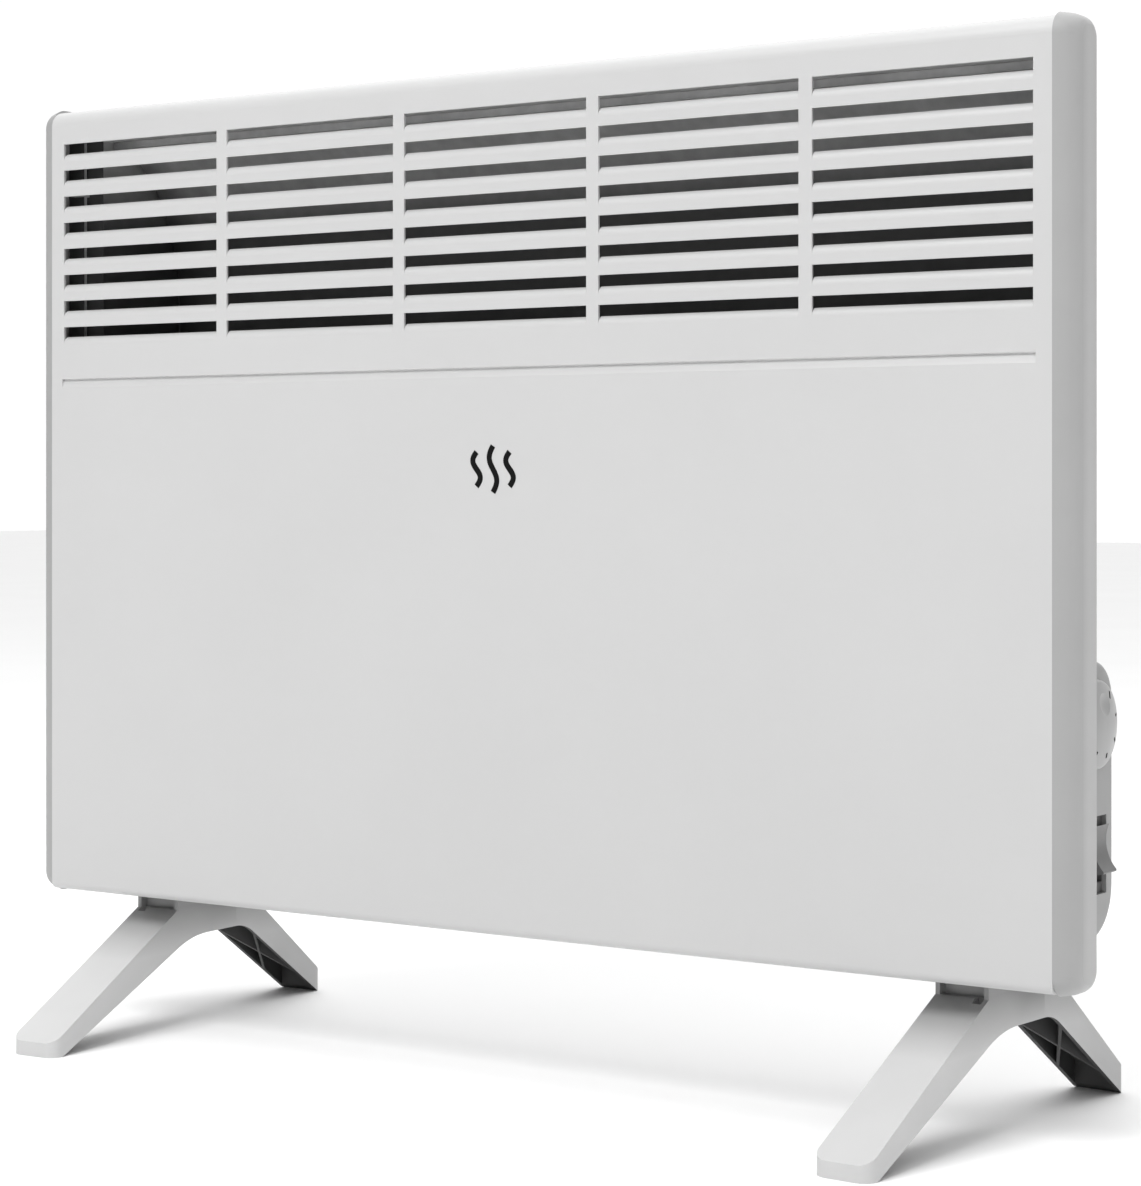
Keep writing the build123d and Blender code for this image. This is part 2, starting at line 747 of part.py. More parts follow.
with BuildPart() as thermostat_terminals:
    for depth, z in thermostat_tabs:
        with Locations((body_back_x - tab_length / 2, front_y + depth, z)):
            Box(tab_length, tab_width, tab_thickness)
finish(thermostat_terminals, "thermostat_terminals")

with BuildPart() as thermostat_nut:
    with BuildSketch(Plane.YZ.offset(pod_outer_x)):
        with Locations((knob_y, knob_z)):
            RegularPolygon(8.0, 6)
            Circle(bushing_radius + running_gap, mode=Mode.SUBTRACT)
    extrude(amount=2.4)
finish(thermostat_nut, "thermostat_nut")

flat_offset = 2.0
with BuildPart() as thermostat_shaft:
    with Locations(along_x(spindle_back_x, knob_y, knob_z)):
        Cylinder(spindle_radius, spindle_end_x - spindle_back_x, align=base_up)
    with Locations((bushing_end_x + 0.2, knob_y + flat_offset, knob_z)):
        Box(20.0, 5.0, 10.0, align=(Align.MIN, Align.MIN, Align.CENTER), mode=Mode.SUBTRACT)
finish(thermostat_shaft, "thermostat_shaft")

knob_plane = Plane(origin=(0, knob_y, knob_z), x_dir=(1, 0, 0), z_dir=(0, -1, 0))
with BuildPart() as thermostat_knob:
    with BuildSketch(knob_plane):
        with BuildLine():
            dome = ThreePointArc(
                (knob_top_x, 0),
                (knob_top_x - 0.8, knob_dome_radius / 2 + 1.0),
                (knob_top_x - 3.0, knob_dome_radius),
            )
            rim = Spline(
                dome @ 1,
                (knob_skirt_x + 1.2, knob_radius),
                tangents=[dome % 1, (-1, 0)],
            )
            Polyline(
                rim @ 1,
                (knob_skirt_x, knob_radius),
                (knob_skirt_x, knob_radius - 1.6),
                (knob_skirt_x + 2.4, knob_radius - 1.6),
                (knob_top_x - 2.2, 14.0),
                (knob_top_x - 2.2, 5.6),
                (bushing_end_x + 0.3, 5.6),
                (bushing_end_x + 0.3, 0),
                dome @ 0,
            )
        make_face()
    revolve(axis=Axis((0, knob_y, knob_z), (1, 0, 0)))
    with BuildSketch(Plane.YZ.offset(bushing_end_x)):
        with Locations((knob_y, knob_z)):
            Circle(spindle_radius + 0.03)
        with Locations((knob_y + flat_offset + 0.03, knob_z)):
            Rectangle(5.0, 10.0, align=(Align.MIN, Align.CENTER), mode=Mode.SUBTRACT)
    extrude(amount=spindle_end_x + 0.05 - bushing_end_x, mode=Mode.SUBTRACT)
    # A finger dimple near the rim shows where the dial is set.
    with Locations((knob_top_x + 11.6, knob_y, knob_z + 11.0)):
        Sphere(13.6, mode=Mode.SUBTRACT)
    with Locations(along_x(knob_skirt_x - 1.0, knob_y, knob_z)):
        with PolarLocations(knob_radius + 0.25, 48):
            Cylinder(0.5, 4.0, align=base_up, mode=Mode.SUBTRACT)
finish(thermostat_knob, "thermostat_knob")

# ---- switch ----
switch_floor_x = 266.0
switch_back_x = 254.0
with BuildPart() as switch_body:
    with Locations(((switch_back_x + face_inner_x) / 2, switch_y, switch_z)):
        Box(
            face_inner_x - switch_back_x,
            2 * (switch_half_width + switch_wall),
            2 * (switch_half_height + switch_wall),
        )
    with Locations((switch_floor_x, switch_y, switch_z)):
        Box(
            40.0,
            2 * switch_half_width,
            2 * switch_cavity_half_height,
            align=(Align.MIN, Align.CENTER, Align.CENTER),
            mode=Mode.SUBTRACT,
        )
    with Locations(along_y(rocker_pivot_x, switch_y, switch_z)):
        Cylinder(pivot_pin_radius + running_gap, 40.0, mode=Mode.SUBTRACT)
finish(switch_body, "switch_body")

tilt = radians(rocker_tilt)
rocker_plane = Plane(
    origin=(rocker_pivot_x, switch_y, switch_z),
    x_dir=(cos(tilt), 0, sin(tilt)),
    z_dir=(0, -1, 0),
)
rocker_rise = 14.0
with BuildPart() as switch_rocker:
    with BuildSketch(rocker_plane):
        with BuildLine():
            dish = ThreePointArc(
                (rocker_rise, rocker_half_height),
                (rocker_rise - 3.3, 0),
                (rocker_rise, -rocker_half_height),
            )
            belly = ThreePointArc((-1.5, -6.0), (-3.4, 0), (-1.5, 6.0))
            Polyline(dish @ 1, (5.0, 0.7 - rocker_half_height), belly @ 0)
            Polyline(belly @ 1, (5.0, rocker_half_height - 0.7), dish @ 0)
        make_face()
    extrude(amount=rocker_half_width, both=True)
    fillet(edges().filter_by(Axis.Y).sort_by(Axis.X)[-1], 0.8)
    with Locations(along_y(rocker_pivot_x, switch_y, switch_z)):
        Cylinder(pivot_pin_radius, 2 * (switch_half_width + switch_wall) - 0.4)
finish(switch_rocker, "switch_rocker")

switch_tab_zs = [switch_z - 10.0, switch_z, switch_z + 10.0]
with BuildPart() as switch_terminals:
    for z in switch_tab_zs:
        with Locations((switch_back_x - 4.0, switch_y, z)):
            Box(8.0, 4.8, tab_thickness)
finish(switch_terminals, "switch_terminals")

# ---- terminal block and cord inlet ----
block_back_x = 243.0
block_front_x = 258.0
block_bottom = 146.0
block_top = 160.0
block_ways = [44.0, 52.0, 60.0]
with BuildPart() as terminal_block:
    block_depth = 66.0 - 37.0
    with Locations(((block_back_x + block_front_x) / 2, front_y + 51.5, (block_bottom + block_top) / 2)):
        Box(block_front_x - block_back_x, block_depth, block_top - block_bottom)
    for depth in block_ways:
        with Locations((250.5, front_y + depth, block_top)):
            Cylinder(2.4, 12.0, mode=Mode.SUBTRACT)
        with Locations(along_x(block_front_x, front_y + depth, block_bottom + 4.0)):
            Cylinder(1.8, 10.0, mode=Mode.SUBTRACT)
    for depth in (48.0, 56.0):
        with Locations((250.5, front_y + depth, block_top)):
            Box(20.0, 1.2, 4.0, mode=Mode.SUBTRACT)
finish(terminal_block, "terminal_block")

with BuildPart() as terminal_screws:
    for depth in block_ways:
        with Locations((250.5, front_y + depth, block_top - 6.0)):
            Cylinder(2.3, 4.5, align=base_up)
        with Locations((250.5, front_y + depth, block_top - 1.5)):
            Box(5.0, 0.8, 1.6, mode=Mode.SUBTRACT)
finish(terminal_screws, "terminal_screws")

bush_flange_z = 78.4
bush_top = 90.0
with BuildPart() as cord_bush:
    with Locations((inlet_x, inlet_y, bush_flange_z)):
        Cylinder(8.0, pan_bottom - bush_flange_z, align=base_up)
        Cylinder(bush_radius, bush_top - bush_flange_z, align=base_up)
    fillet(faces().sort_by(Axis.Z)[0].edges(), 1.0)
    with Locations((inlet_x, inlet_y, pan_bottom + pan_sheet + 0.2)):
        Cylinder(bush_radius + 0.8, 1.6, align=base_up)
    with Locations((inlet_x, inlet_y, bush_flange_z)):
        Cylinder(cord_bore_radius, 40.0, mode=Mode.SUBTRACT)
finish(cord_bush, "cord_bush")


# ================= heating element =================
with BuildPart() as element_fins:
    with BuildSketch(Plane.YZ.offset(element_left)):
        with Locations((element_y, element_z)):
            Circle(6.5)
            with PolarLocations(0, fin_count):
                Rectangle(fin_radius, fin_thickness, align=(Align.MIN, Align.CENTER))
            Circle(tube_hole, mode=Mode.SUBTRACT)
    extrude(amount=element_right - element_left)
finish(element_fins, "element_fins")

tube_overhang = 8.0
tube_left = bracket_left_x - tube_overhang
tube_right = bracket_right_x + tube_overhang
with BuildPart() as element_tube:
    with Locations(along_x(tube_left, element_y, element_z)):
        Cylinder(tube_radius, tube_right - tube_left, align=base_up)
finish(element_tube, "element_tube")

pin_length = 12.0
with BuildPart() as element_pins:
    with Locations(
        along_x(tube_left - pin_length, element_y, element_z),
        along_x(tube_right, element_y, element_z),
    ):
        Cylinder(1.4, pin_length, align=base_up)
finish(element_pins, "element_pins")

bead_length = 3.0
with BuildPart() as element_seals:
    with Locations(
        along_x(tube_left - bead_length, element_y, element_z),
        along_x(tube_right, element_y, element_z),
    ):
        Cylinder(3.6, bead_length, align=base_up)
        Cylinder(1.45, bead_length, align=base_up, mode=Mode.SUBTRACT)
finish(element_seals, "element_seals")

bracket_front = front_y + 34.0
bracket_half_height = 18.0
bracket_foot = 16.0
bush_hole = 8.1
for side, bracket_x, outward in (("left", bracket_left_x, -1), ("right", bracket_right_x, 1)):
    with BuildPart() as element_bracket:
        with Locations((bracket_x, (bracket_front + inner_back_y) / 2, element_z)):
            Box(bracket_sheet, inner_back_y - bracket_front, 2 * bracket_half_height)
        with Locations((bracket_x + outward * bracket_foot / 2, inner_back_y - bracket_sheet / 2, element_z)):
            Box(bracket_foot, bracket_sheet, 2 * bracket_half_height)
        with Locations(along_x(bracket_x, element_y, element_z)):
            Cylinder(bush_hole, 10.0, mode=Mode.SUBTRACT)
        for z in bracket_screw_zs:
            with Locations(along_y(bracket_x + outward * bracket_screw_offset, inner_back_y, z)):
                Cylinder(shank_hole, 10.0, mode=Mode.SUBTRACT)
    finish(element_bracket, "element_bracket_" + side)

    with BuildPart() as element_bush:
        with Locations(along_x(bracket_x, element_y, element_z)):
            Cylinder(8.0, 8.0)
        with Locations(along_x(bracket_x - outward * 2.0, element_y, element_z)):
            Cylinder(10.5, 2.4)
        with Locations(along_x(bracket_x, element_y, element_z)):
            Cylinder(tube_hole, 20.0, mode=Mode.SUBTRACT)
    finish(element_bush, "element_bush_" + side)

with BuildPart() as bracket_screws:
    for x, z in bracket_hole_places:
        panhead_screw(along_y(x, back_y, z), 5.0)
finish(bracket_screws, "bracket_screws")

# ---- thermal cut-out on its bracket, above the element ----
arm_z = 200.0
arm_reach = 26.0
arm_width = 18.0
cutout_y = inner_back_y - 15.0
cutout_radius = 8.0
cutout_height = 7.0
with BuildPart() as cutout_bracket:
    with Locations((cutout_x, inner_back_y - 0.5, arm_z + 20.0)):
        Box(arm_width, 1.0, 40.0)
    with Locations((cutout_x, inner_back_y - arm_reach / 2, arm_z + 0.5)):
        Box(arm_width, arm_reach, 1.0)
    with Locations(along_y(cutout_x, inner_back_y, cutout_screw_z)):
        Cylinder(shank_hole, 10.0, mode=Mode.SUBTRACT)
finish(cutout_bracket, "cutout_bracket")

with BuildPart() as thermal_cutout:
    with Locations((cutout_x, cutout_y, arm_z + 1.0)):
        Cylinder(cutout_radius, cutout_height, align=base_up)
    fillet(faces().sort_by(Axis.Z)[-1].edges(), 1.0)
finish(thermal_cutout, "thermal_cutout")

cutout_top = arm_z + 1.0 + cutout_height
with BuildPart() as cutout_terminals:
    with Locations((cutout_x - 4.5, cutout_y, cutout_top), (cutout_x + 4.5, cutout_y, cutout_top)):
        Box(tab_thickness, 5.0, tab_length, align=base_up)
finish(cutout_terminals, "cutout_terminals")

with BuildPart() as cutout_screw:
    panhead_screw(along_y(cutout_x, back_y, cutout_screw_z), 5.0)
finish(cutout_screw, "cutout_screw")

# ---- protective earth ----
with BuildPart() as earth_screw:
    panhead_screw(along_y(earth_x, back_y, earth_z), 9.0)
finish(earth_screw, "earth_screw")

with BuildPart() as earth_nut:
    with BuildSketch(Plane.XZ.offset(-inner_back_y)):
        with Locations((earth_x, earth_z)):
            RegularPolygon(3.2, 6)
            Circle(shank_hole, mode=Mode.SUBTRACT)
    extrude(amount=2.4)
finish(earth_nut, "earth_nut")


# ================= wiring =================
# Each wire runs from point to point, as (x, depth behind the front, z), with rounded corners.
wire_radius = 1.1
wire_bend = 3.2
tab_end_x = body_back_x - tab_length - 0.2
switch_end_x = switch_back_x - 8.2
block_end_x = block_back_x - 0.1
tab_end_z = cutout_top + tab_length + 0.2
pin_reach = pin_length + 0.2
cutout_depth = cutout_y - front_y
switch_depth = switch_y - front_y
wires = {
    "wire_live": [
        (block_end_x, 46, 152),
        (236, 46, 152),
        (236, switch_depth, switch_tab_zs[2]),
        (switch_end_x, switch_depth, switch_tab_zs[2]),
    ],
    "wire_switched": [
        (switch_end_x, switch_depth, switch_tab_zs[1]),
        (237, switch_depth, switch_tab_zs[1]),
        (236, 69, 136),
        (236, 69, 160),
        (237, 62, 171),
        (tab_end_x, 62, 171),
    ],
    "wire_heater": [
        (tab_end_x, 46, 186),
        (222, 46, 184),
        (200, 58, 212),
        (166, cutout_depth, 226),
        (cutout_x + 4.5, cutout_depth, 226),
        (cutout_x + 4.5, cutout_depth, tab_end_z),
    ],
    "wire_element": [
        (cutout_x - 4.5, cutout_depth, tab_end_z),
        (cutout_x - 4.5, cutout_depth, 234),
        (196, cutout_depth, 232),
        (216, 56, 205),
        (218, 50, element_z),
        (tube_right + pin_reach, 50, element_z),
    ],
    "wire_neutral": [
        (block_end_x, 52, 152),
        (235, 52, 152),
        (222, 66, 143),
        (200, 73, 130),
        (-205, 73, 130),
        (-236, 66, 140),
        (-246, 50, element_z),
        (tube_left - pin_reach, 50, element_z),
    ],
    "wire_earth": [
        (block_end_x, 60, 152),
        (237, 60, 152),
        (220, 74, 172),
        (222, 75.5, 203),
        (earth_x, 74.5, 209),
        (earth_x, 74.5, earth_z - 4.4),
    ],
}
for name, places in wires.items():
    with BuildPart() as wire:
        with BuildLine() as route:
            FilletPolyline(*[(x, front_y + depth, z) for x, depth, z in places], radius=wire_bend)
        with BuildSketch(Plane(origin=route.line @ 0, z_dir=route.line % 0)):
            Circle(wire_radius)
        sweep()
    finish(wire, name)

# The thermostat's sensing bulb lies in the inlet air, on a thin capillary.
bulb_radius = 2.5
bulb_length = 60.0
capillary_radius = 0.8
bulb_end = (206, front_y + 62, 100)
with BuildPart() as thermostat_bulb:
    with BuildLine() as route:
        Spline(
            (body_back_x - 0.1, front_y + 50, 168),
            (240, front_y + 49, 164),
            (box_inner_x, front_y + 48, 160),
            (221, front_y + 53, 140),
            (219, front_y + 60, 112),
            bulb_end,
            tangents=[(-1, 0, 0), (-1, 0, 0)],
        )
    with BuildSketch(Plane(origin=route.line @ 0, z_dir=route.line % 0)):
        Circle(capillary_radius)
    sweep()
    with Locations(along_x(bulb_end[0] - bulb_length, bulb_end[1], bulb_end[2])):
        Cylinder(bulb_radius, bulb_length, align=base_up)
finish(thermostat_bulb, "thermostat_bulb")
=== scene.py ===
"""Looks of the panel convector heater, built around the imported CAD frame."""

import json
import math

import bmesh
import bpy
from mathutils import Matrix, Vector


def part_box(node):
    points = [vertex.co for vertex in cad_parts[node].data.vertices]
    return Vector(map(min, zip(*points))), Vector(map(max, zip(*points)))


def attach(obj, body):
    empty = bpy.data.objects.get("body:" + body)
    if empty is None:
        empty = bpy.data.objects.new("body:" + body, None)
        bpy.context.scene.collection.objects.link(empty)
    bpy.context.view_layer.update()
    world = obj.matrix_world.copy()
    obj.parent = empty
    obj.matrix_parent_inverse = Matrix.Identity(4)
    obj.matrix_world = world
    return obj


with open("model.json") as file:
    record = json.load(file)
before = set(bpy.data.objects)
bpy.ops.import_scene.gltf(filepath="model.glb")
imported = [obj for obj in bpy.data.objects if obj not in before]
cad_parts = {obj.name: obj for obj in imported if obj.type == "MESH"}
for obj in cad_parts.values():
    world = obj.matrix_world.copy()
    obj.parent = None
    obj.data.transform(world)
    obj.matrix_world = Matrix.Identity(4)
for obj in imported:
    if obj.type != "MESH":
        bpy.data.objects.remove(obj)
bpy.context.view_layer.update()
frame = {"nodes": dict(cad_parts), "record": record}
nodes = frame["nodes"]
MM = 0.001


# ---------------------------------------------------------------- materials
class Nodes:
    """A material's node tree with short calls to add to it."""

    def __init__(self, name):
        self.material = bpy.data.materials.new(name)
        self.material.use_nodes = True
        self.tree = self.material.node_tree
        self.shader = self.tree.nodes["Principled BSDF"]
        self.place = self.add("ShaderNodeTexCoord").outputs["Object"]

    def add(self, kind, **settings):
        node = self.tree.nodes.new(kind)
        for key, value in settings.items():
            setattr(node, key, value)
        return node

    def link(self, source, target):
        self.tree.links.new(source, target)

    def noise(self, scale, detail=2.0, stretch=(1, 1, 1)):
        """Noise whose features are about 1/scale metres across."""
        mapping = self.add("ShaderNodeMapping")
        mapping.inputs["Scale"].default_value = stretch
        texture = self.add("ShaderNodeTexNoise")
        texture.inputs["Scale"].default_value = scale
        texture.inputs["Detail"].default_value = detail
        self.link(self.place, mapping.inputs["Vector"])
        self.link(mapping.outputs["Vector"], texture.inputs["Vector"])
        return texture.outputs["Fac"]

    def ramp(self, value, low, high, start=0.3, end=0.7):
        """Turns noise into a colour between low and high."""
        ramp = self.add("ShaderNodeValToRGB")
        ramp.color_ramp.elements[0].position = start
        ramp.color_ramp.elements[1].position = end
        ramp.color_ramp.elements[0].color = (*low, 1)
        ramp.color_ramp.elements[1].color = (*high, 1)
        self.link(value, ramp.inputs["Fac"])
        return ramp.outputs["Color"]

    def spread(self, value, low, high):
        """Turns noise into a number between low and high."""
        spread = self.add("ShaderNodeMapRange")
        spread.inputs["To Min"].default_value = low
        spread.inputs["To Max"].default_value = high
        self.link(value, spread.inputs["Value"])
        return spread.outputs["Result"]

    def bump(self, value, height, strength=1.0):
        """Bump of a height in metres."""
        bump = self.add("ShaderNodeBump")
        bump.inputs["Strength"].default_value = strength
        bump.inputs["Distance"].default_value = height
        self.link(value, bump.inputs["Height"])
        self.link(bump.outputs["Normal"], self.shader.inputs["Normal"])


def shade(color, factor):
    return tuple(min(1.0, c * factor) for c in color)


def grey(value):
    return (value, value, value)


def powder_coat(name, color, roughness=0.42):
    """Baked enamel on sheet metal: a fine orange peel and faint cloudiness."""
    m = Nodes(name)
    cloud = m.noise(9.0, 3.0)
    m.link(m.ramp(cloud, shade(color, 0.985), shade(color, 1.01)), m.shader.inputs["Base Color"])
    m.link(m.spread(m.noise(60.0, 3.0), roughness - 0.05, roughness + 0.06), m.shader.inputs["Roughness"])
    m.bump(m.noise(900.0, 3.0), 0.00004, 0.5)
    m.shader.inputs["Coat Weight"].default_value = 0.12
    m.shader.inputs["Coat Roughness"].default_value = 0.35
    return m.material


def moulded(name, color, roughness=0.5, grain=0.00003, size=1500.0):
    """Moulded plastic with a fine spark-eroded grain."""
    m = Nodes(name)
    cloud = m.noise(25.0, 3.0)
    m.link(m.ramp(cloud, shade(color, 0.975), shade(color, 1.015)), m.shader.inputs["Base Color"])
    m.link(m.spread(m.noise(130.0, 2.0), roughness - 0.06, roughness + 0.07), m.shader.inputs["Roughness"])
    m.bump(m.noise(size, 2.0), grain, 0.6)
    m.shader.inputs["IOR"].default_value = 1.5
    return m.material


def metal(name, color, roughness=0.35, stretch=(1, 1, 1), scale=400.0, dark=0.8, metallic=1.0):
    """Plated or drawn metal: streaks along one direction, or spangle when unstretched."""
    m = Nodes(name)
    streak = m.noise(scale, 4.0, stretch)
    m.link(m.ramp(streak, shade(color, dark), shade(color, 1.06)), m.shader.inputs["Base Color"])
    m.link(m.spread(streak, roughness - 0.08, roughness + 0.12), m.shader.inputs["Roughness"])
    m.bump(streak, 0.00002, 0.4)
    m.shader.inputs["Metallic"].default_value = metallic
    return m.material


def two_colour_sleeve(name, first, second, band):
    """Wire sleeve whose stripes wind round it."""
    m = Nodes(name)
    wave = m.add("ShaderNodeTexWave", wave_type="BANDS", bands_direction="DIAGONAL")
    wave.inputs["Scale"].default_value = band
    m.link(m.place, wave.inputs["Vector"])
    m.link(m.ramp(wave.outputs["Fac"], first, second, 0.49, 0.51), m.shader.inputs["Base Color"])
    m.shader.inputs["Roughness"].default_value = 0.45
    m.bump(m.noise(800.0), 0.00002)
    return m.material


MATERIALS = {
    "white_enamel": powder_coat("white_enamel", grey(0.545)),
    "zinc_sheet": metal("zinc_sheet", (0.30, 0.31, 0.32), 0.5, scale=120.0, dark=0.75),
    "cap_plastic": moulded("cap_plastic", grey(0.44), 0.5),
    "foot_plastic": moulded("foot_plastic", grey(0.585), 0.45),
    "zinc_screw": metal("zinc_screw", (0.66, 0.66, 0.64), 0.3, scale=900.0),
    "brass_parts": metal("brass_parts", (0.72, 0.55, 0.26), 0.3, scale=900.0),
    "control_plastic": moulded("control_plastic", grey(0.33), 0.45),
    "thermostat_metal": metal("thermostat_metal", (0.55, 0.55, 0.54), 0.35, (1, 6, 6), 300.0),
    "knob_plastic": moulded("knob_plastic", grey(0.37), 0.35, 0.00001),
    "copper_bulb": metal("copper_bulb", (0.72, 0.40, 0.26), 0.3, (1, 5, 5), 300.0),
    "switch_black": moulded("switch_black", grey(0.12), 0.4, 0.00001),
    "rocker_grey": moulded("rocker_grey", grey(0.15), 0.4, 0.00001),
    "block_plastic": moulded("block_plastic", (0.62, 0.60, 0.54), 0.55),
    "bush_rubber": moulded("bush_rubber", grey(0.58), 0.6),
    "fin_aluminium": metal("fin_aluminium", (0.50, 0.51, 0.52), 0.4, (0.2, 8, 8), 200.0),
    "sheath_steel": metal("sheath_steel", (0.28, 0.27, 0.26), 0.4, (0.2, 8, 8), 300.0, 0.6),
    "seal_rubber": moulded("seal_rubber", (0.42, 0.09, 0.06), 0.6),
    "cutout_phenolic": moulded("cutout_phenolic", (0.05, 0.035, 0.03), 0.45),
    "wire_brown": moulded("wire_brown", (0.12, 0.045, 0.02), 0.5),
    "wire_blue": moulded("wire_blue", (0.02, 0.07, 0.38), 0.5),
    "wire_green": two_colour_sleeve("wire_green", (0.04, 0.26, 0.05), (0.72, 0.62, 0.05), 60.0),
}
DEFLECTOR_SHEET = metal("deflector_sheet", grey(0.55), 0.5, scale=120.0, dark=0.85, metallic=0.35)
INSIDE_METAL = metal("inside_metal", grey(0.60), 0.55, scale=90.0, dark=0.85, metallic=0.35)
# A near-black sheet that paints the shade on the flanges seen through the ends of the louvres.
FLANGE_SHADE = metal("flange_shade", grey(0.08), 0.6, scale=90.0, dark=0.85, metallic=0.2)
# A near-black lining that paints the shade in the ribbed hollows under the feet.
FOOT_HOLLOW_SHADE = moulded("foot_hollow_shade", grey(0.055), 0.6)
PRINT = moulded("print_grey", grey(0.006), 0.8, 0.000005)
PRINT.node_tree.nodes["Principled BSDF"].inputs["Specular IOR Level"].default_value = 0.1


def multiply(tree, first, second):
    """The product of two colours in a node tree."""
    mix = tree.nodes.new("ShaderNodeMix")
    mix.data_type = "RGBA"
    mix.blend_type = "MULTIPLY"
    mix.inputs["Factor"].default_value = 1.0
    tree.links.new(first, mix.inputs[6])
    tree.links.new(second, mix.inputs[7])
    return mix.outputs[2]


def banded_colour(material, axis, low, high, low_grey, high_grey):
    """Changes a material's base colour along an axis, between two places in metres."""
    tree = material.node_tree
    shader = tree.nodes["Principled BSDF"]
    old = shader.inputs["Base Color"].links[0].from_socket
    place = tree.nodes.new("ShaderNodeTexCoord")
    split = tree.nodes.new("ShaderNodeSeparateXYZ")
    spread = tree.nodes.new("ShaderNodeMapRange")
    spread.inputs["From Min"].default_value = low
    spread.inputs["From Max"].default_value = high
    spread.inputs["To Min"].default_value = low_grey
    spread.inputs["To Max"].default_value = high_grey
    tree.links.new(place.outputs["Object"], split.inputs["Vector"])
    tree.links.new(split.outputs[axis], spread.inputs["Value"])
    product = multiply(tree, old, spread.outputs["Result"])
    tree.links.new(product, shader.inputs["Base Color"])


shell_low, shell_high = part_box("front_panel")
pan_low, pan_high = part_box("rear_panel")
deflector_low, deflector_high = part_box("air_deflector")

# Side caps: painted shade, darker towards the front edge where they meet the front panel.
CAP_SHADE_BAND = (shell_low.y + 3 * MM, shell_low.y + 13 * MM)
banded_colour(MATERIALS["cap_plastic"], "Y", *CAP_SHADE_BAND, 0.80, 1.04)
# Feet: painted shade, darker at the neck under the casing and towards the rear end behind it.
NECK_SHADE_BAND = (40 * MM, 62 * MM)
REAR_LEG_SHADE_BAND = (20 * MM, 80 * MM)
banded_colour(MATERIALS["foot_plastic"], "Z", *NECK_SHADE_BAND, 1.0, 0.45)
banded_colour(MATERIALS["foot_plastic"], "Y", *REAR_LEG_SHADE_BAND, 1.0, 0.80)
# Deflector and inner sheets behind the louvres: painted shade, pale at the top and dark below, with the
# deflector also dark at the left end.
UPPER_SHADE_BAND = (deflector_high.z - 48 * MM, deflector_high.z - 10 * MM)
LEFT_SHADE_BAND = (deflector_low.x, deflector_low.x + 24 * MM)
for sheet in (DEFLECTOR_SHEET, INSIDE_METAL):
    banded_colour(sheet, "Z", *UPPER_SHADE_BAND, 0.16, 1.0)
banded_colour(DEFLECTOR_SHEET, "X", *LEFT_SHADE_BAND, 0.45, 1.0)


# ---------------------------------------------------------------- materials on the CAD nodes
SHARP_ANGLE = math.radians(32.0)
FACING = 0.7


def dress(obj, material):
    """Gives a mesh its only material."""
    obj.data.materials.clear()
    obj.data.materials.append(material)


def smooth(obj):
    """Rounds the shading of curved faces and keeps folds sharp."""
    mesh = obj.data
    mesh.polygons.foreach_set("use_smooth", [True] * len(mesh.polygons))
    mesh.set_sharp_from_angle(angle=SHARP_ANGLE)


def line_inside(node, material, is_inside):
    """Gives another material to the faces for which is_inside(centre, normal) holds."""
    mesh = nodes[node].data
    mesh.materials.append(material)
    for face in mesh.polygons:
        if is_inside(face.center, face.normal):
            face.material_index = len(mesh.materials) - 1


for row in frame["record"]["subparts"]:
    dress(nodes[row["node"]], MATERIALS[row["material_slot"]])
dress(nodes["air_deflector"], DEFLECTOR_SHEET)

FLANGE = 12.0 * MM
SHEET = 1.4 * MM
WALL_MARGIN = 3.0 * MM
PAN_MIDDLE = (pan_low.z + pan_high.z) / 2


def inside_rear(centre, normal):
    """The bare inner side of the rear panel, which shows through the louvres."""
    behind_flange = centre.y > pan_low.y + SHEET
    between_walls = (pan_low.z + FLANGE - WALL_MARGIN < centre.z
                     < pan_high.z - FLANGE + WALL_MARGIN)
    faces_middle = normal.z * (PAN_MIDDLE - centre.z) > 0.35 * MM
    return normal.y < -FACING or (behind_flange and between_walls and faces_middle)


def inside_side(centre, normal):
    """The bare inner side of a side panel."""
    return normal.x * centre.x < -0.5 * abs(centre.x)


def faces_front(centre, normal):
    """The front of a side panel's flange, just behind the ends of the louvres."""
    return normal.y < -FACING


def inside_front(centre, normal):
    """The bare back of the front panel and of its rolled louvres."""
    within = shell_low.y + 0.6 * MM < centre.y < shell_high.y - 2 * MM
    return within and normal.y > FACING


def inside_cap(centre, normal):
    """The flange of a side cap that lies behind the ends of the louvres."""
    return normal.y < -FACING and centre.y > shell_low.y + 10 * MM


FOOT_TOE = math.radians(3.5)
FOOT_X = 234.6 * MM
NECK_HALF = 13.2 * MM
LEG_TAPER = 0.008
FOOT_WALL = 1.1 * MM
SOLID_TIP = 104.0 * MM
POCKET_FLOOR = 58.0 * MM
POCKET_REAR = 2.0 * MM
STEEP = 0.4


def inside_foot(centre, normal):
    """The ribbed hollow under a foot's legs."""
    across = (abs(centre.x) - FOOT_X) * math.cos(FOOT_TOE) - centre.y * math.sin(FOOT_TOE)
    half_width = NECK_HALF - LEG_TAPER * centre.y
    in_pocket = centre.z > POCKET_FLOOR and centre.y < POCKET_REAR
    faces_out = normal.y * centre.y > 0.15 * abs(centre.y) and abs(centre.y) > SOLID_TIP
    upright = abs(normal.z) < STEEP
    inner_wall = abs(across) < half_width - FOOT_WALL and upright and not faces_out
    return not in_pocket and (inner_wall or normal.z < -STEEP)


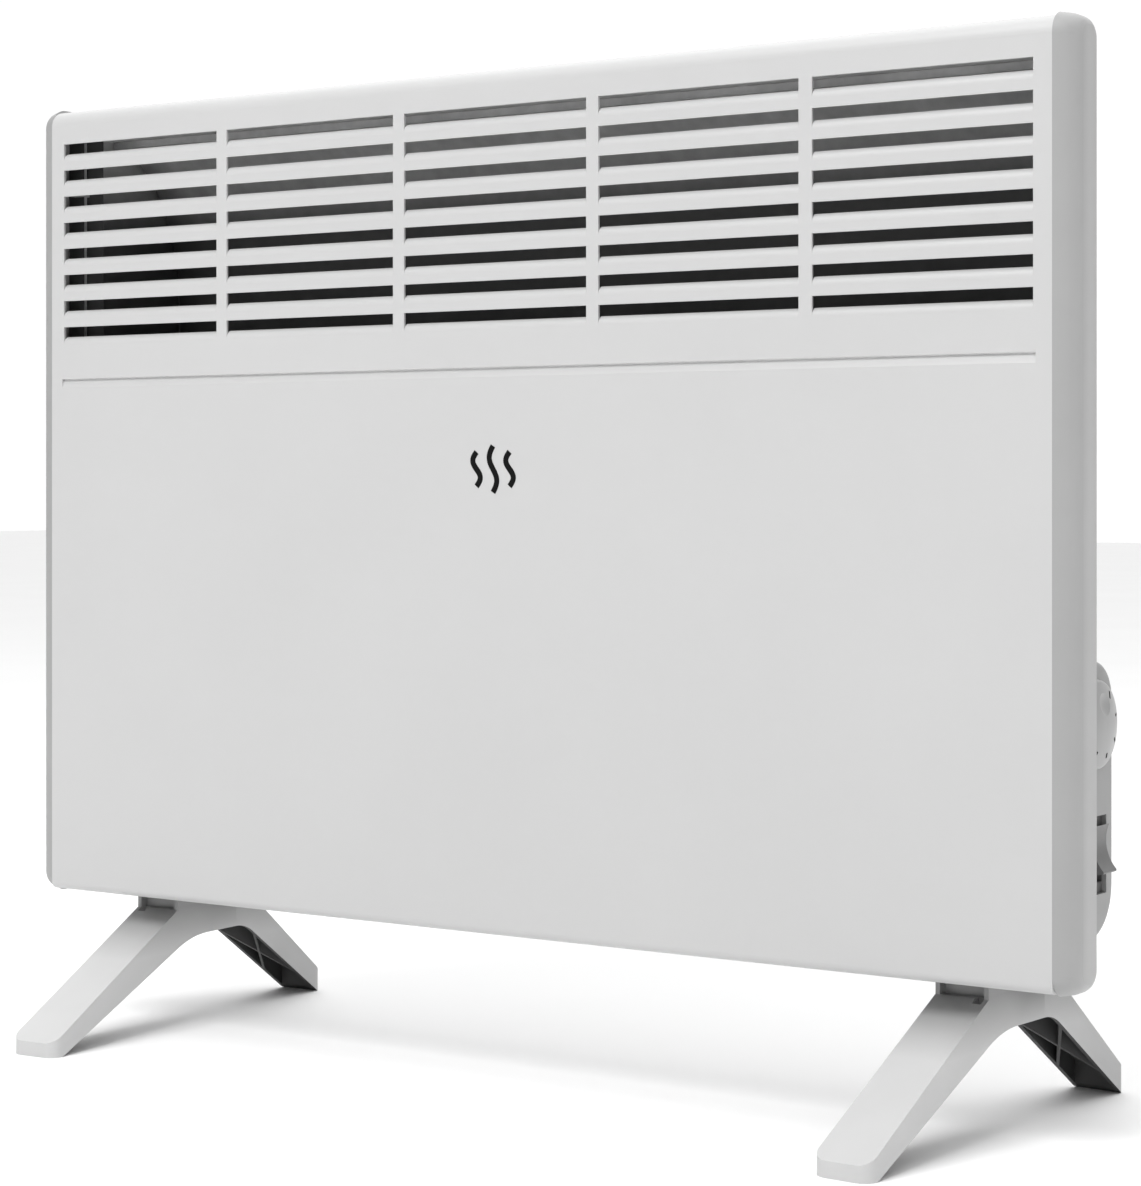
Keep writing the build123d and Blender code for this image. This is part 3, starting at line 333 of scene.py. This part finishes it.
line_inside("rear_panel", INSIDE_METAL, inside_rear)
line_inside("front_panel", INSIDE_METAL, inside_front)
for side in ("left", "right"):
    line_inside("side_panel_" + side, INSIDE_METAL, inside_side)
    # Flanges behind the louvre ends get a near-black lining of painted shade.
    line_inside("side_panel_" + side, FLANGE_SHADE, faces_front)
    line_inside("side_cap_" + side, FLANGE_SHADE, inside_cap)
    # The hollows under the feet get a near-black lining of painted shade.
    line_inside("foot_" + side, FOOT_HOLLOW_SHADE, inside_foot)
for obj in nodes.values():
    smooth(obj)


# ---------------------------------------------------------------- new pieces
def mesh_piece(name, mesh_maker, material, body):
    """A new piece from a bmesh function."""
    shape = bmesh.new()
    mesh_maker(shape)
    bmesh.ops.recalc_face_normals(shape, faces=shape.faces)
    mesh = bpy.data.meshes.new(name)
    shape.to_mesh(mesh)
    shape.free()
    piece = bpy.data.objects.new(name, mesh)
    bpy.context.scene.collection.objects.link(piece)
    dress(piece, material)
    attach(piece, body)


def ribbon(shape, points, width, base, outward, thickness):
    """A flat printed stroke of a width along points, lifted from base along outward."""
    rails = []
    for index, point in enumerate(points):
        before = points[max(index - 1, 0)]
        after = points[min(index + 1, len(points) - 1)]
        along = (after - before).normalized()
        side = along.cross(outward).normalized() * width / 2
        rails.append((point + side, point - side))
    lower, upper = (
        [[shape.verts.new(base + p + outward * lift) for p in pair] for pair in rails]
        for lift in (0.0, thickness)
    )
    for i in range(len(points) - 1):
        shape.faces.new((upper[i][0], upper[i + 1][0], upper[i + 1][1], upper[i][1]))
        shape.faces.new((lower[i][0], lower[i][1], lower[i + 1][1], lower[i + 1][0]))
        for side in (0, 1):
            shape.faces.new((lower[i][side], lower[i + 1][side], upper[i + 1][side], upper[i][side]))
    for end in (0, len(points) - 1):
        shape.faces.new((lower[end][0], lower[end][1], upper[end][1], upper[end][0]))


MARK_HEIGHT = 22.0 * MM
MARK_WAVE = 2.2 * MM
MARK_STROKE = 2.9 * MM
MARK_STEP = 9.6 * MM
MARK_OUTER = 0.74
MARK_POINTS = 25
MARK_Z = 290.5 * MM
INK = 0.12 * MM


def heat_mark(shape):
    """Three plain rising waves, printed on the front."""
    base = Vector((0, shell_low.y, MARK_Z))
    for step in (-1, 0, 1):
        tall = MARK_HEIGHT * (1.0 if step == 0 else MARK_OUTER)
        points = []
        for i in range(MARK_POINTS):
            t = i / (MARK_POINTS - 1)
            x = step * MARK_STEP + MARK_WAVE * math.sin(2 * math.pi * t)
            points.append(Vector((x, 0, (t - 0.5) * tall)))
        ribbon(shape, points, MARK_STROKE, base, Vector((0, -1, 0)), INK)


mesh_piece("heat_mark", heat_mark, PRINT, "casing")

pod_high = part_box("control_housing")[1]
knob_low, knob_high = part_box("thermostat_knob")
knob_centre = (knob_low + knob_high) / 2
knob_radius = (knob_high.z - knob_low.z) / 2
DIAL_SWEEP = 270.0
DIAL_TICKS = 7
SCALE_START = 90.0
SCALE_GAP = 0.9 * MM
SCALE_WIDTH = 0.9 * MM
SCALE_LONG = 3.2 * MM
SCALE_SHORT = 2.2 * MM
POD_HALF = 17.0 * MM
KNOB_START = 60.0
KNOB_RING = 0.66
KNOB_WIDTH = 1.1 * MM
KNOB_LONG = 3.4 * MM
KNOB_SHORT = 2.2 * MM
ACROSS_X = Vector((1, 0, 0))


def tick_ray(start, tick):
    """The direction of a tick, counted clockwise from a start angle in degrees."""
    turn = math.radians(start - DIAL_SWEEP * tick / (DIAL_TICKS - 1))
    return Vector((0, math.cos(turn), math.sin(turn)))


def dial_scale(shape):
    """Ticks on the pod round the knob, from off at the top round to full heat."""
    base = Vector((pod_high.x, knob_centre.y, knob_centre.z))
    inner = knob_radius + SCALE_GAP
    for tick in range(DIAL_TICKS):
        ray = tick_ray(SCALE_START, tick)
        length = SCALE_LONG if tick in (0, DIAL_TICKS - 1) else SCALE_SHORT
        points = [ray * inner, ray * (inner + length)]
        if abs(points[1].y) < POD_HALF:
            ribbon(shape, points, SCALE_WIDTH, base, ACROSS_X, INK)


mesh_piece("dial_scale", dial_scale, PRINT, "casing")


def knob_marks(shape):
    """Short strokes that follow the knob's dome, one for each setting."""
    knob = nodes["thermostat_knob"]
    for tick in range(DIAL_TICKS):
        ray = tick_ray(KNOB_START, tick)
        length = KNOB_LONG if tick % 2 == 0 else KNOB_SHORT
        points = []
        for step in range(4):
            start = knob_centre + ray * (knob_radius * KNOB_RING + length * step / 3)
            start.x = knob_high.x + 10 * MM
            hit, place, *_ = knob.ray_cast(start, -ACROSS_X)
            if hit:
                points.append(place)
        if len(points) > 1:
            ribbon(shape, points, KNOB_WIDTH, Vector((0, 0, 0)), ACROSS_X, INK)


mesh_piece("knob_marks", knob_marks, PRINT, "dial")

# ---------------------------------------------------------------- stage
FLOOR_SIZE = 12.0
WORLD_STRENGTH = 1.64
# The world's brightness along a direction: places from 0 at -1 to 1 at +1, each with a grey.
OVERHEAD = ((0.62, 0.625), (0.95, 1.0))
SIDEWAYS = ((0.03, 0.10), (0.27, 1.0), (0.76, 1.0), (0.93, 0.45))
FRONT_TO_BACK = ((0.30, 0.48), (0.62, 1.0))
SLANT = 0.45


def stage_floor():
    """A pale, flat floor that reaches far behind."""
    shape = bmesh.new()
    bmesh.ops.create_grid(shape, x_segments=24, y_segments=24, size=FLOOR_SIZE)
    mesh = bpy.data.meshes.new("floor")
    shape.to_mesh(mesh)
    shape.free()
    floor = bpy.data.objects.new("floor", mesh)
    bpy.context.scene.collection.objects.link(floor)
    m = Nodes("pale_floor")
    m.link(m.ramp(m.noise(3.0), grey(0.95), grey(0.97)), m.shader.inputs["Base Color"])
    m.shader.inputs["Roughness"].default_value = 0.9
    dress(floor, m.material)


def soft_light(name, place, target, size, power):
    """A rectangular lamp at a place, aimed at a target."""
    light = bpy.data.lights.new(name, "AREA")
    light.shape = "RECTANGLE"
    light.size, light.size_y = size
    light.energy = power
    lamp = bpy.data.objects.new(name, light)
    lamp.location = place
    lamp.rotation_euler = (Vector(target) - Vector(place)).to_track_quat("-Z", "Y").to_euler()
    bpy.context.scene.collection.objects.link(lamp)


def wall_brightness(tree, source, stops):
    """The grey of the world along one direction."""
    spread = tree.nodes.new("ShaderNodeMapRange")
    spread.inputs["From Min"].default_value = -1.0
    ramp = tree.nodes.new("ShaderNodeValToRGB")
    while len(ramp.color_ramp.elements) < len(stops):
        ramp.color_ramp.elements.new(0.5)
    for stop, (position, value) in zip(ramp.color_ramp.elements, stops):
        stop.position = position
        stop.color = (*grey(value), 1)
    tree.links.new(source, spread.inputs["Value"])
    tree.links.new(spread.outputs["Result"], ramp.inputs["Fac"])
    return ramp.outputs["Color"]


def studio_walls(tree):
    """White behind and overhead, dimmer in front, and dark at the front left and far right."""
    place = tree.nodes.new("ShaderNodeTexCoord")
    split = tree.nodes.new("ShaderNodeSeparateXYZ")
    tree.links.new(place.outputs["Generated"], split.inputs["Vector"])
    slant = tree.nodes.new("ShaderNodeMath")
    slant.operation = "MULTIPLY_ADD"
    slant.inputs[1].default_value = SLANT
    tree.links.new(split.outputs["Y"], slant.inputs[0])
    tree.links.new(split.outputs["X"], slant.inputs[2])
    product = wall_brightness(tree, split.outputs["Z"], OVERHEAD)
    product = multiply(tree, product, wall_brightness(tree, slant.outputs["Value"], SIDEWAYS))
    product = multiply(tree, product, wall_brightness(tree, split.outputs["Y"], FRONT_TO_BACK))
    tree.links.new(product, tree.nodes["Background"].inputs["Color"])


stage_floor()
world = bpy.data.worlds.new("studio")
bpy.context.scene.world = world
world.use_nodes = True
world.node_tree.nodes["Background"].inputs["Strength"].default_value = WORLD_STRENGTH
studio_walls(world.node_tree)
soft_light("key", (-0.1, -1.9, 2.5), (0, 0, 0.25), (1.6, 1.0), 52.0)
soft_light("top", (0.0, 0.1, 2.4), (0, 0, 0.1), (3.0, 2.4), 12.0)

view = bpy.context.scene.view_settings
view.view_transform = "Standard"
view.look = "None"

# ---------------------------------------------------------------- camera
GRILLE_TOP = shell_high.z - 17.8 * MM
CAMERA_RIGHT = 0.8013
CAMERA_IN_FRONT = 1.111
CAMERA_BELOW_GRILLE = 0.179
CAMERA_TURN = math.radians(34.27)
camera_data = bpy.data.cameras.new("camera")
camera_data.sensor_width = 36.0
camera_data.lens = 88.0
camera_data.shift_y = -0.0914
camera = bpy.data.objects.new("camera", camera_data)
camera.location = (CAMERA_RIGHT, shell_low.y - CAMERA_IN_FRONT, GRILLE_TOP - CAMERA_BELOW_GRILLE)
camera.rotation_euler = (math.radians(90.0), 0, CAMERA_TURN)
bpy.context.scene.collection.objects.link(camera)
bpy.context.scene.camera = camera
